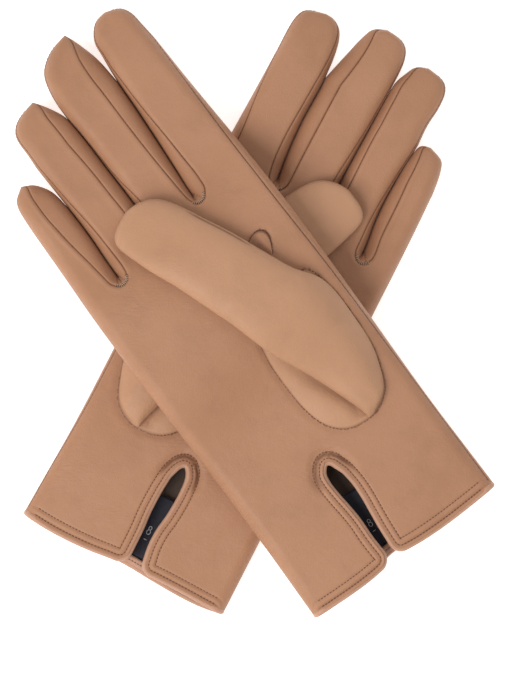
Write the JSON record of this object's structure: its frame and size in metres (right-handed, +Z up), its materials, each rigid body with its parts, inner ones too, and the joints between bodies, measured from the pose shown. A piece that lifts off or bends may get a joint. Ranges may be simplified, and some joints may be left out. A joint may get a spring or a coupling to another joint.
{
  "type": "pair of leather gloves",
  "caption": "Pair of soft leather dress gloves lying palm up and crossed, with fourchettes between the fingers, inset thumbs, a notched wrist vent and a knit lining.",
  "frame": {"origin": "middle of the crossed pair's footprint, on the table", "axes": "+Z up from the table, +Y towards the fingertips, +X to the wearer's view right with both palms facing up"},
  "size_m": [0.1925, 0.2458, 0.0481],
  "materials": {
    "leather": "smooth tan glove leather, soft sheen",
    "fourchette": "smooth tan glove leather, edge-cut strips",
    "thumb": "smooth tan glove leather, slightly paler",
    "binding": "rolled leather edge",
    "lining": "dark brown fine knit",
    "label": "woven black label"
  },
  "bodies": {
    "left_index_finger": {"left_index_back_side": "leather", "left_index_fourchette": "fourchette", "left_index_palm_side": "leather"},
    "left_middle_finger": {"left_middle_back_side": "leather", "left_middle_fourchette_far": "fourchette", "left_middle_fourchette_near": "fourchette", "left_middle_palm_side": "leather"},
    "left_ring_finger": {"left_ring_back_side": "leather", "left_ring_fourchette_far": "fourchette", "left_ring_fourchette_near": "fourchette", "left_ring_palm_side": "leather"},
    "left_little_finger": {"left_little_folded_side": "leather", "left_little_fourchette": "fourchette"},
    "left_thumb": {"left_thumb_stall": "thumb"},
    "left_hand": {"left_back_lining": "lining", "left_back_panel": "leather", "left_cuff_hem": "binding", "left_fork_index_middle": "fourchette", "left_fork_middle_ring": "fourchette", "left_fork_ring_little": "fourchette", "left_palm_lining": "lining", "left_palm_panel": "leather", "left_size_label": "label", "left_thumb_quirk": "leather", "left_vent_binding": "binding"},
    "right_index_finger": {"right_index_back_side": "leather", "right_index_fourchette": "fourchette", "right_index_palm_side": "leather"},
    "right_middle_finger": {"right_middle_back_side": "leather", "right_middle_fourchette_far": "fourchette", "right_middle_fourchette_near": "fourchette", "right_middle_palm_side": "leather"},
    "right_ring_finger": {"right_ring_back_side": "leather", "right_ring_fourchette_far": "fourchette", "right_ring_fourchette_near": "fourchette", "right_ring_palm_side": "leather"},
    "right_little_finger": {"right_little_folded_side": "leather", "right_little_fourchette": "fourchette"},
    "right_thumb": {"right_thumb_stall": "thumb"},
    "right_hand": {"right_back_lining": "lining", "right_back_panel": "leather", "right_cuff_hem": "binding", "right_fork_index_middle": "fourchette", "right_fork_middle_ring": "fourchette", "right_fork_ring_little": "fourchette", "right_palm_lining": "lining", "right_palm_panel": "leather", "right_size_label": "label", "right_thumb_quirk": "leather", "right_vent_binding": "binding"}
  },
  "joints": [
    {"name": "left_index_curl", "type": "hinge", "parent": "left_hand", "child": "left_index_finger", "pos_m": [0.00409, 0.07306, 0.0131], "axis": [0.8829, -0.4695, 0], "range_deg": [0, 75]},
    {"name": "left_middle_curl", "type": "hinge", "parent": "left_hand", "child": "left_middle_finger", "pos_m": [0.02638, 0.06121, 0.0131], "axis": [0.8829, -0.4695, 0], "range_deg": [0, 75]},
    {"name": "left_ring_curl", "type": "hinge", "parent": "left_hand", "child": "left_ring_finger", "pos_m": [0.04603, 0.05076, 0.0131], "axis": [0.8829, -0.4695, 0], "range_deg": [0, 75]},
    {"name": "left_little_curl", "type": "hinge", "parent": "left_hand", "child": "left_little_finger", "pos_m": [0.05706, 0.02678, 0.0131], "axis": [0.8829, -0.4695, 0], "range_deg": [0, 75]},
    {"name": "left_thumb_raise", "type": "hinge", "parent": "left_hand", "child": "left_thumb", "pos_m": [-0.05021, -0.04706, 0.0142], "axis": [0.7336, -0.6796, 0], "range_deg": [0, 45]},
    {"name": "right_glove_lift", "type": "slide", "parent": "left_hand", "child": "right_hand", "axis": [0, 0, 1], "range_m": [0, 0.12]},
    {"name": "right_index_curl", "type": "hinge", "parent": "right_hand", "child": "right_index_finger", "pos_m": [-0.02266, 0.06838, 0.02507], "axis": [0.8039, 0.5948, 0], "range_deg": [0, 75]},
    {"name": "right_middle_curl", "type": "hinge", "parent": "right_hand", "child": "right_middle_finger", "pos_m": [-0.04296, 0.05336, 0.02507], "axis": [0.8039, 0.5948, 0], "range_deg": [0, 75]},
    {"name": "right_ring_curl", "type": "hinge", "parent": "right_hand", "child": "right_ring_finger", "pos_m": [-0.06084, 0.04012, 0.02507], "axis": [0.8039, 0.5948, 0], "range_deg": [0, 75]},
    {"name": "right_little_curl", "type": "hinge", "parent": "right_hand", "child": "right_little_finger", "pos_m": [-0.06821, 0.01477, 0.02978], "axis": [0.8039, 0.5948, 0], "range_deg": [0, 75]},
    {"name": "right_thumb_raise", "type": "hinge", "parent": "right_hand", "child": "right_thumb", "pos_m": [0.04879, -0.0424, 0.028], "axis": [0.6251, 0.7805, 0], "range_deg": [0, 45]}
  ],
  "couplings": [
    {"joint": "left_thumb_raise", "follows": "right_glove_lift", "rad_per_m": 5}
  ]
}
